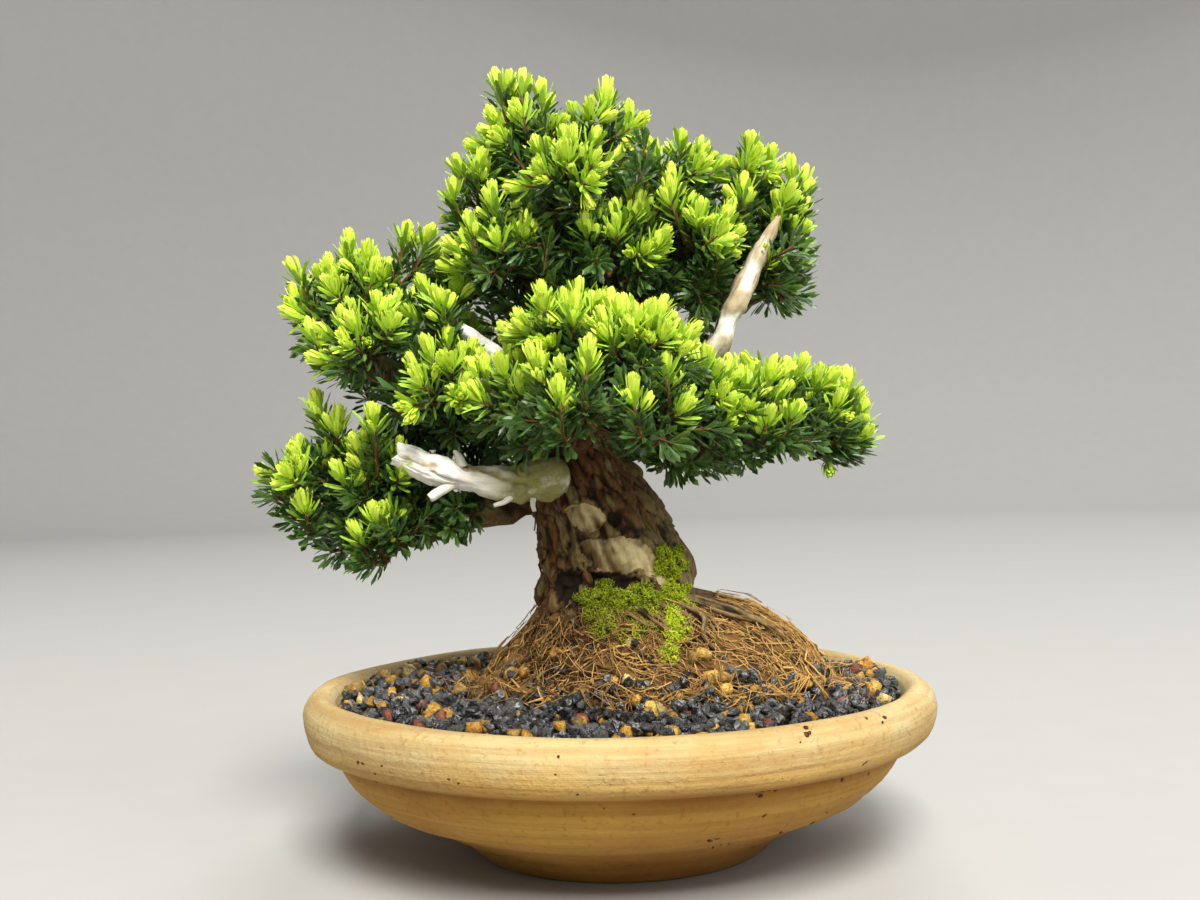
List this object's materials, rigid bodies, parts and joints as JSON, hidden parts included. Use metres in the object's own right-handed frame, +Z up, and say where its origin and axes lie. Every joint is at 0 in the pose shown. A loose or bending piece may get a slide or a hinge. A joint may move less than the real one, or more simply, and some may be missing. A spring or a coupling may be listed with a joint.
{
  "type": "bonsai tree in pot",
  "caption": "Japanese yew bonsai with stripped dead branches and a broad root mound, in a shallow round stoneware pot filled with gravel.",
  "frame": {"origin": "centre of the pot's flat underside, on the surface that the pot stands on", "axes": "+Z up; the tree's front faces -Y, with +X to the right when it is seen from the front"},
  "size_m": [0.1356, 0.1236, 0.154],
  "materials": {
    "pot_clay": "unglazed ochre stoneware, matt, with fine throwing lines and dark pits",
    "net_plastic": "dark moulded plastic net",
    "lava_gravel": "crushed black lava with scattered tan and dark red pebbles",
    "root_fibre": "tangle of fine dry orange-brown roots",
    "yew_wood": "flaking reddish brown bark with bare bleached wood where it is stripped",
    "yew_foliage": "glossy needles, dark green when old and bright yellow-green when young"
  },
  "bodies": {
    "root": {"apex_spray_1": "yew_foliage", "apex_spray_2": "yew_foliage", "apex_spray_3": "yew_foliage", "apex_spray_4": "yew_foliage", "apex_spray_5": "yew_foliage", "back_spray_1": "yew_foliage", "back_spray_2": "yew_foliage", "back_spray_3": "yew_foliage", "back_spray_4": "yew_foliage", "back_spray_5": "yew_foliage", "back_spray_6": "yew_foliage", "back_spray_7": "yew_foliage", "back_spray_8": "yew_foliage", "drain_net_left": "net_plastic", "drain_net_right": "net_plastic", "front_spray_1": "yew_foliage", "front_spray_2": "yew_foliage", "front_spray_3": "yew_foliage", "front_spray_4": "yew_foliage", "front_spray_5": "yew_foliage", "gravel": "lava_gravel", "low_left_spray_1": "yew_foliage", "low_left_spray_2": "yew_foliage", "low_left_spray_3": "yew_foliage", "low_left_spray_4": "yew_foliage", "low_left_spray_5": "yew_foliage", "low_left_spray_6": "yew_foliage", "mid_left_spray_1": "yew_foliage", "mid_left_spray_2": "yew_foliage", "mid_left_spray_3": "yew_foliage", "mid_left_spray_4": "yew_foliage", "mid_left_spray_5": "yew_foliage", "mid_left_spray_6": "yew_foliage", "mid_left_spray_7": "yew_foliage", "pot": "pot_clay", "right_spray_1": "yew_foliage", "right_spray_2": "yew_foliage", "right_spray_3": "yew_foliage", "right_spray_4": "yew_foliage", "right_spray_5": "yew_foliage", "right_spray_6": "yew_foliage", "root_ball": "root_fibre", "trunk": "yew_wood", "upper_left_spray_1": "yew_foliage", "upper_left_spray_2": "yew_foliage", "upper_left_spray_3": "yew_foliage", "upper_right_spray_1": "yew_foliage", "upper_right_spray_2": "yew_foliage", "upper_right_spray_3": "yew_foliage", "upper_right_spray_4": "yew_foliage", "upper_right_spray_5": "yew_foliage", "upper_right_spray_6": "yew_foliage", "upper_right_spray_7": "yew_foliage", "upper_right_spray_8": "yew_foliage"}
  },
  "joints": []
}
